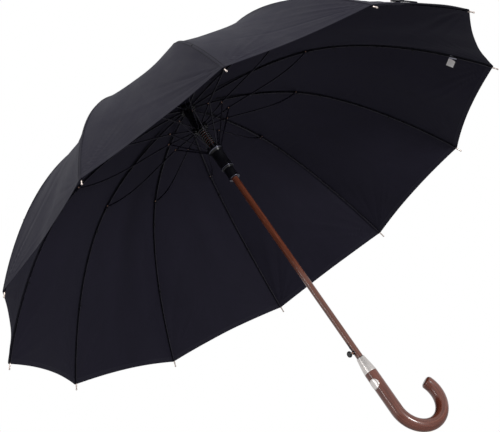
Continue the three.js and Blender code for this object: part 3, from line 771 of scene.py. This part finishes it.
# ---- cloth ----
def rib_line_at(share):
    """Places and directions on the rib's middle line, for shares from the top to the hem."""
    inner = np.clip(share / INNER_SHARE, 0, 1)
    outer = np.clip((share - INNER_SHARE) / (1 - INNER_SHARE), 0, None) * CLOTH_END
    on_inner = (share <= INNER_SHARE)[..., None]
    point = np.where(on_inner, bezier(INNER_RIB, inner), bezier(OUTER_RIB, outer))
    along = np.where(on_inner, bezier_along(INNER_RIB, inner), bezier_along(OUTER_RIB, outer))
    return point, along


def fold(value, width):
    """A narrow ridge across zero."""
    return np.exp(-(value / width) ** 2)


def wrinkles(gore, offset, share):
    """How far the cloth stands off its smooth shape, zero along the ribs."""
    random = np.random.default_rng(100 + gore)
    r = rib_line_at(share)[0][..., 0]
    across = r * offset
    down = share * OUTER_RUN
    total = np.zeros_like(share)
    for _ in range(5):
        length = random.uniform(90, 210)
        angle = random.uniform(-0.5, 0.5)
        phase = random.uniform(0, 2 * math.pi)
        place = across * math.cos(angle) + down * math.sin(angle)
        total += 0.55 * np.sin(place * 2 * math.pi / length + phase)
    for side in (-1, 1):
        du = r * (HALF_STEP - side * offset)
        dv = (1 - share) * OUTER_RUN
        away = np.hypot(du, dv)
        angle = np.arctan2(dv, du)
        for k in range(5):
            at = 0.42 + 0.24 * k + random.uniform(-0.07, 0.07)
            width = random.uniform(0.035, 0.075)
            reach = random.uniform(70, 210)
            height = random.uniform(0.5, 1.5) * random.choice([-1, 1])
            bend = random.uniform(-0.0006, 0.0006)
            fade = (1 - np.exp(-away / 22)) * np.exp(-(away / reach) ** 2)
            total += height * fade * fold(angle - at - bend * away, width)
        # short creases beside the strut joint and along the seam
        for _ in range(3):
            at = random.uniform(0.3, 0.75)
            slant = random.uniform(0.2, 0.7)
            line = (share - at) * OUTER_RUN - slant * du
            total += 0.45 * fold(line, random.uniform(2.5, 5)) * np.exp(-(du / 45) ** 2)
    pucker = 0.22 * np.sin(down * 2 * math.pi / 11 + random.uniform(0, 6)) * np.exp(
        -r * (HALF_STEP - np.abs(offset)) / 9)
    pinned = 1 - np.exp(-r * (HALF_STEP - np.abs(offset)) / 7)
    ends = np.clip(share / 0.12, 0, 1) * (1 - 0.75 * share ** 14)
    return (total * pinned + pucker) * ends


def crown_rise(share):
    """How far the cloth at the crown is lifted off the ribs, to clear the notch."""
    return np.maximum(0, 1 - share / 0.2) * 5


def cloth_at(gore, offset, share, lift):
    """A place on the cloth between rib number gore and the next, offset from the gore's middle."""
    point, along = rib_line_at(share)
    bow = 1 - (offset / HALF_STEP) ** 2
    seam = -0.5 * np.exp(-(point[..., 0] * (HALF_STEP - np.abs(offset)) / 1.1) ** 2)
    hem = (1 - share) * OUTER_RUN
    stitched = -0.22 * np.exp(-((hem - HEM_WIDTH) / 0.7) ** 2) * np.clip(bow * 8, 0, 1)
    high = lift + wrinkles(gore, offset, share) + seam + stitched
    drawn_in = np.maximum(0, 1 - share / 0.08) * (PIVOT_RADIUS - CLOTH_START_R)
    x = point[..., 0] - along[..., 1] * high - drawn_in
    z = point[..., 1] + along[..., 0] * high + crown_rise(share)
    middle_sink, hem_sink, scallop = UNEVEN_GORES.get(gore, GORE_CUT)
    belly = np.sin(math.pi * np.minimum(share, 1) ** 1.6)
    sink = bow * (middle_sink * belly + hem_sink * share ** 3)
    scallop = scallop * share ** 6 * bow
    r = x - along[..., 0] * scallop + along[..., 1] * sink
    z = z - along[..., 1] * scallop - along[..., 0] * sink
    angle = gore * RIB_STEP + HALF_STEP + offset
    reach = r * math.cos(HALF_STEP) / np.cos(offset)
    return np.stack([reach * np.cos(angle), reach * np.sin(angle), z], -1)


def joint_share(from_rib):
    """The share where the cloth crosses the line of the strut joint's hinge."""
    needed = RIB_JOINT[0] * np.cos(HALF_STEP - from_rib) / (math.cos(HALF_STEP) * np.cos(from_rib))
    table = np.linspace(INNER_SHARE, 0.55, 60)
    return np.interp(needed, rib_line_at(table)[0][:, 0], table)


def zone_shares(zone, from_rib):
    """Shares for a zone's rows by columns; the hem zone is dense at the hem and its stitches."""
    low, high, rows = zone[:3]
    cut = joint_share(from_rib)
    first = cut if low == INNER_SHARE else np.full_like(cut, low)
    last = cut if high == INNER_SHARE else np.full_like(cut, high)
    steps = np.linspace(0, 1, rows)
    if high < 1:
        return first[None, :] + (last - first)[None, :] * steps[:, None]
    near = np.array([14, 12, 11, 10.5, 10, 9.5, 9, 8, 6, 4, 2, 1, 0.4, 0])
    last = last - HEM_ZONE / OUTER_RUN
    body = first[None, :] + (last - first)[None, :] * steps[:, None]
    hem_rows = np.repeat((1 - near / OUTER_RUN)[:, None], len(from_rib), 1)
    return np.vstack([body, hem_rows])


def surface(gore, offset, share, lift):
    """Points and unit normals of the cloth, with normals that match across neighbouring pieces."""
    small = 1e-4
    point = cloth_at(gore, offset, share, lift)
    clipped = np.clip(offset, -HALF_STEP + small, HALF_STEP - small)
    du = cloth_at(gore, clipped + small, share, lift) - cloth_at(gore, clipped - small, share, lift)
    up = np.maximum(share - small, 0)
    dv = cloth_at(gore, offset, share + small, lift) - cloth_at(gore, offset, up, lift)
    normal = np.cross(dv, du)
    length = np.linalg.norm(normal, axis=-1, keepdims=True)
    return point, normal / np.maximum(length, 1e-12)


def make_cloth_piece(name, rib, zone):
    """The cloth beside one rib, from mid gore to mid gore, through one zone of its length."""
    from_rib = np.linspace(0, 1, 28) ** 1.25 * HALF_STEP
    share = zone_shares(zone, from_rib)
    layers = []
    for side in (-1, 1):
        gore = rib if side > 0 else (rib - 1) % RIB_COUNT
        offset = np.repeat((side * (from_rib - HALF_STEP))[None, :], share.shape[0], 0)
        hem = (1 - share) * OUTER_RUN
        hem_fold = 0.35 * np.clip((HEM_WIDTH + 0.6 - hem) / 0.8, 0, 1)
        top, normal = surface(gore, offset, share, CLOTH_LIFT + CLOTH_THICKNESS)
        low, low_normal = surface(gore, offset, share, CLOTH_LIFT)
        low = low - low_normal * hem_fold[..., None]
        r = rib_line_at(share)[0][..., 0]
        uv = np.stack([r * side * from_rib + 0 * share, share * OUTER_RUN], -1) * MM
        hem_place = np.stack([r * side * from_rib + 300 * rib, hem], -1) * MM
        layers.append([top, low, normal, low_normal, uv, hem_place])
    middle = [(a[:, :1] + b[:, :1]) / 2 for a, b in zip(*layers)]
    top, low, normal, low_normal, uv, hem_place = (
        np.hstack([a[:, :0:-1], m, b[:, 1:]]) for a, m, b in zip(layers[0], middle, layers[1]))
    rows, columns = top.shape[:2]
    count = rows * columns
    index = np.arange(count).reshape(rows, columns)
    a, b, c, d = (corner.ravel() for corner in (index[:-1, :-1], index[1:, :-1], index[1:, 1:],
                                                index[:-1, 1:]))
    rim = np.r_[index[0, :], index[1:, -1], index[-1, -2::-1], index[-2:0:-1, 0]]
    after = np.roll(rim, -1)
    faces = np.vstack([np.stack([a, b, c, d], 1), np.stack([a, d, c, b], 1) + count,
                       np.stack([rim, after, after + count, rim + count], 1)])
    points = np.vstack([top.reshape(-1, 3), low.reshape(-1, 3)]) * MM
    data = bpy.data.meshes.new(name)
    data.from_pydata(points.tolist(), [], faces.tolist())
    corners = faces.ravel()
    for layer_name, values in (("UVMap", uv), ("Hem", hem_place)):
        layer = data.uv_layers.new(name=layer_name)
        layer.data.foreach_set("uv", values.reshape(-1, 2)[corners % count].ravel())
    data.materials.append(CLOTH)
    data.polygons.foreach_set("use_smooth", [True] * len(faces))
    normals = np.vstack([normal.reshape(-1, 3), -low_normal.reshape(-1, 3)])[corners]
    edge_faces = faces[2 * len(a):]
    flat = np.cross(points[edge_faces[:, 1]] - points[edge_faces[:, 0]],
                    points[edge_faces[:, 2]] - points[edge_faces[:, 0]])
    flat /= np.maximum(np.linalg.norm(flat, axis=1, keepdims=True), 1e-15)
    normals[8 * len(a):] = np.repeat(flat, 4, 0)
    data.normals_split_custom_set(normals.tolist())
    cells = np.cross(top[1:, :-1] - top[:-1, :-1], top[:-1, 1:] - top[:-1, :-1])
    return data, np.linalg.norm(cells, axis=-1).sum() * MM * MM


# zones of the cloth beside a rib: from and to as shares, rows, share of its width kept when closed, name
ZONES = [
    (0.0, 0.1, 12, 0.55, "crown"),
    (0.1, 0.22, 14, 0.36, "upper"),
    (0.22, INNER_SHARE, 22, 0.22, "middle"),
    (INNER_SHARE, 0.86, 52, 0.128, "lower"),
    (0.86, 1.0, 16, 0.08, "hem"),
]


def make_canopy():
    for rib in range(RIB_COUNT):
        number = f"{rib + 1:02d}"
        for zone in ZONES:
            low, high, rows, keep, name = zone
            outer = low >= INNER_SHARE
            bar = "rib_end" if outer else "rib"
            data, area = make_cloth_piece(f"cloth_{name}_{number}", rib, zone)
            obj = bpy.data.objects.new(data.name, data)
            bpy.context.scene.collection.objects.link(obj)
            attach(obj, f"{bar}_{number}")
            if rib == 0 and low == 0:
                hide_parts("canopy")
            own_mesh(obj)


def make_seams():
    """The seam allowance that hangs inside the cloth along each rib."""
    for outer in (False, True):
        shape = Shape()
        share = np.linspace(INNER_SHARE, 0.997, 60) if outer else np.linspace(0.1, INNER_SHARE, 36)
        point, along = rib_line_at(share)
        across = np.stack([-along[:, 1], along[:, 0]], 1)
        line = point + across * (CLOTH_LIFT - 0.75)
        line[:, 1] += crown_rise(share)
        section = rounded([(-2.9, -0.55), (-2.7, -0.85), (-1.5, -0.25), (1.5, -0.25), (2.7, -0.85),
                           (2.9, -0.55), (1.6, 0.2), (-1.6, 0.2)], 0.3, 2, closed=True)[:-1]
        scale = np.clip(point[:, 0] / 60, 0.35, 1) if not outer else np.ones(len(share))
        shape.sweep(in_plane(line), section, scale=scale)
        zone = "outer" if outer else "inner"
        data = shape.mesh(f"seam_{zone}", [TAPE])
        for i in range(RIB_COUNT):
            number = f"{i + 1:02d}"
            body = f"rib_end_{number}" if outer else f"rib_{number}"
            shape.make(f"seam_{zone}_{number}", None, body, "cloth", (), i * RIB_STEP, data)


def make_label():
    """A blank care label, sewn into the seam over rib 12 and lying just off the cloth beside it."""
    centre = bezier(OUTER_RIB, LABEL_PLACE)
    along = bezier_along(OUTER_RIB, LABEL_PLACE)
    inward = np.array([along[1], 0, -along[0]])
    t = np.linspace(0, 1, 14)[:, None]
    away = t * (0.24 + 0.16 * t)
    start = in_plane(centre + np.array([-along[1], along[0]]) * (CLOTH_LIFT - 1.2), 1.5)
    path = (start + away * LABEL_LENGTH * inward
            + LABEL_LENGTH * t * (0.93 * np.array([0, 1, 0]) - 0.2 * in_plane(along)))
    shape = Shape()
    shape.sweep(path, box_section(LABEL_WIDTH, 0.3, 0.12), side=(along[0], 0, along[1]))
    label = shape.make("care_label", [LABEL], "rib_end_12", "cloth", (), 11 * RIB_STEP)


def make_strap():
    """The folded tie strap with its stud, sewn across the outside near the hem beside rib 10."""
    rib, share = 9, STRAP_SHARE
    t = np.linspace(0, 1, 40)
    near, far = STRAP_SPAN
    from_rib = (near + (far - near) * t) / rib_line_at(np.array(share))[0][0]
    height = 0.8 * (1 - np.exp(-t / 0.05)) * (1 - t ** 6) * (1 - 0.45 * t)
    places, normals = surface(rib, from_rib - HALF_STEP, np.full_like(t, share),
                              CLOTH_LIFT + CLOTH_THICKNESS)
    path = places + normals * (1.5 + height)[:, None]
    ahead = cloth_at(rib, from_rib - HALF_STEP, np.full_like(t, share + 0.01), CLOTH_LIFT)
    down = (ahead - places)[20]
    shape = Shape()
    shape.sweep(path, box_section(STRAP_WIDTH, STRAP_THICKNESS, 0.9), side=down)
    stud = [(0, -0.6), (4.2, -0.6), (4.4, 0.4), (3.2, 1.3), (1.2, 1.6), (0, 1.6)]
    shape.lathe(rounded(stud, 0.5), 28, 1, path[14] + normals[14] * 1.3, tuple(normals[14]))
    strap = shape.make("tie_strap", [TAPE, STEEL], "rib_end_10", "cloth")
    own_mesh(strap)


# ---- the stage ----
def make_stage():
    mesh = bpy.data.meshes.new("floor")
    far = FLOOR_HALF
    mesh.from_pydata([(-far, -far, 0), (far, -far, 0), (far, far, 0), (-far, far, 0)], [], [(0, 1, 2, 3)])
    floor = bpy.data.objects.new("floor", mesh)
    floor.location = (0, 0, FLOOR_HEIGHT)
    bpy.context.scene.collection.objects.link(floor)
    look = Look("pale_floor", (0.82, 0.82, 0.83), 0.8)
    speckle = look.noise(look.place((1, 1, 1), False), 3, 3)
    look.to("Base Color", look.ramp(speckle, [(0.3, (0.8, 0.8, 0.81)), (0.7, (0.84, 0.84, 0.85))]))
    mesh.materials.append(look.material)

    world = bpy.data.worlds.new("studio")
    world.use_nodes = True
    # the backdrop is white to look at, and lights the object less than it would at full strength
    nodes, links = world.node_tree.nodes, world.node_tree.links
    background = nodes["Background"]
    ray = nodes.new("ShaderNodeLightPath")
    shine = nodes.new("ShaderNodeMath")
    shine.operation = "MULTIPLY"
    shine.inputs[1].default_value = REFLECTED_SKY
    seen = nodes.new("ShaderNodeMath")
    seen.operation = "MAXIMUM"
    strength = nodes.new("ShaderNodeMapRange")
    strength.inputs["To Min"].default_value = SKY
    links.new(ray.outputs["Is Glossy Ray"], shine.inputs[0])
    links.new(shine.outputs[0], seen.inputs[0])
    links.new(ray.outputs["Is Camera Ray"], seen.inputs[1])
    links.new(seen.outputs[0], strength.inputs["Value"])
    links.new(strength.outputs["Result"], background.inputs["Strength"])
    background.inputs["Color"].default_value = (1.0, 1.0, 1.0, 1)
    bpy.context.scene.world = world

    def lamp(name, place, size_m, power, aim=(0, 0, 0.4), tall_m=None):
        data = bpy.data.lights.new(name, "AREA")
        data.shape = "RECTANGLE" if tall_m else "DISK"
        data.size = size_m
        if tall_m:
            data.size_y = tall_m
        data.energy = power
        obj = bpy.data.objects.new(name, data)
        obj.location = place
        obj.rotation_euler = (Vector(aim) - Vector(place)).to_track_quat("-Z", "Y").to_euler()
        bpy.context.scene.collection.objects.link(obj)

    lamp("top", (-0.8, -1.2, 3.0), 1.4, 22)
    lamp("side", (-2.4, -0.75, 0.7), 0.13, 6, (0, 0, 0.2), 1.3)
    lamp("fill", (0.6, -2.6, -0.3), 0.5, 24, (0, 0, 0.4))

    camera = bpy.data.objects.new("camera", bpy.data.cameras.new("camera"))
    right = Vector((0.78249, -0.33446, -0.52521))
    up = Vector((0.24950, -0.60439, 0.75661))
    back = Vector((-0.57049, -0.72308, -0.38949))
    place = Matrix((right, up, back)).transposed().to_4x4()
    place.translation = (-1.39512, -1.74127, -0.54737)
    camera.matrix_world = place
    camera.data.sensor_width = 36.0
    camera.data.lens = 96.39
    camera.data.shift_x = -0.0003
    camera.data.shift_y = 0.0003
    camera.data.clip_end = 100
    bpy.context.scene.collection.objects.link(camera)
    bpy.context.scene.camera = camera


bpy.context.scene.view_settings.view_transform = "Standard"
make_stage()
make_shaft()
make_handle()
make_badge()
make_button()
make_top()
make_hubs()
make_spring()
make_bars()
make_canopy()
make_seams()
make_label()
make_strap()
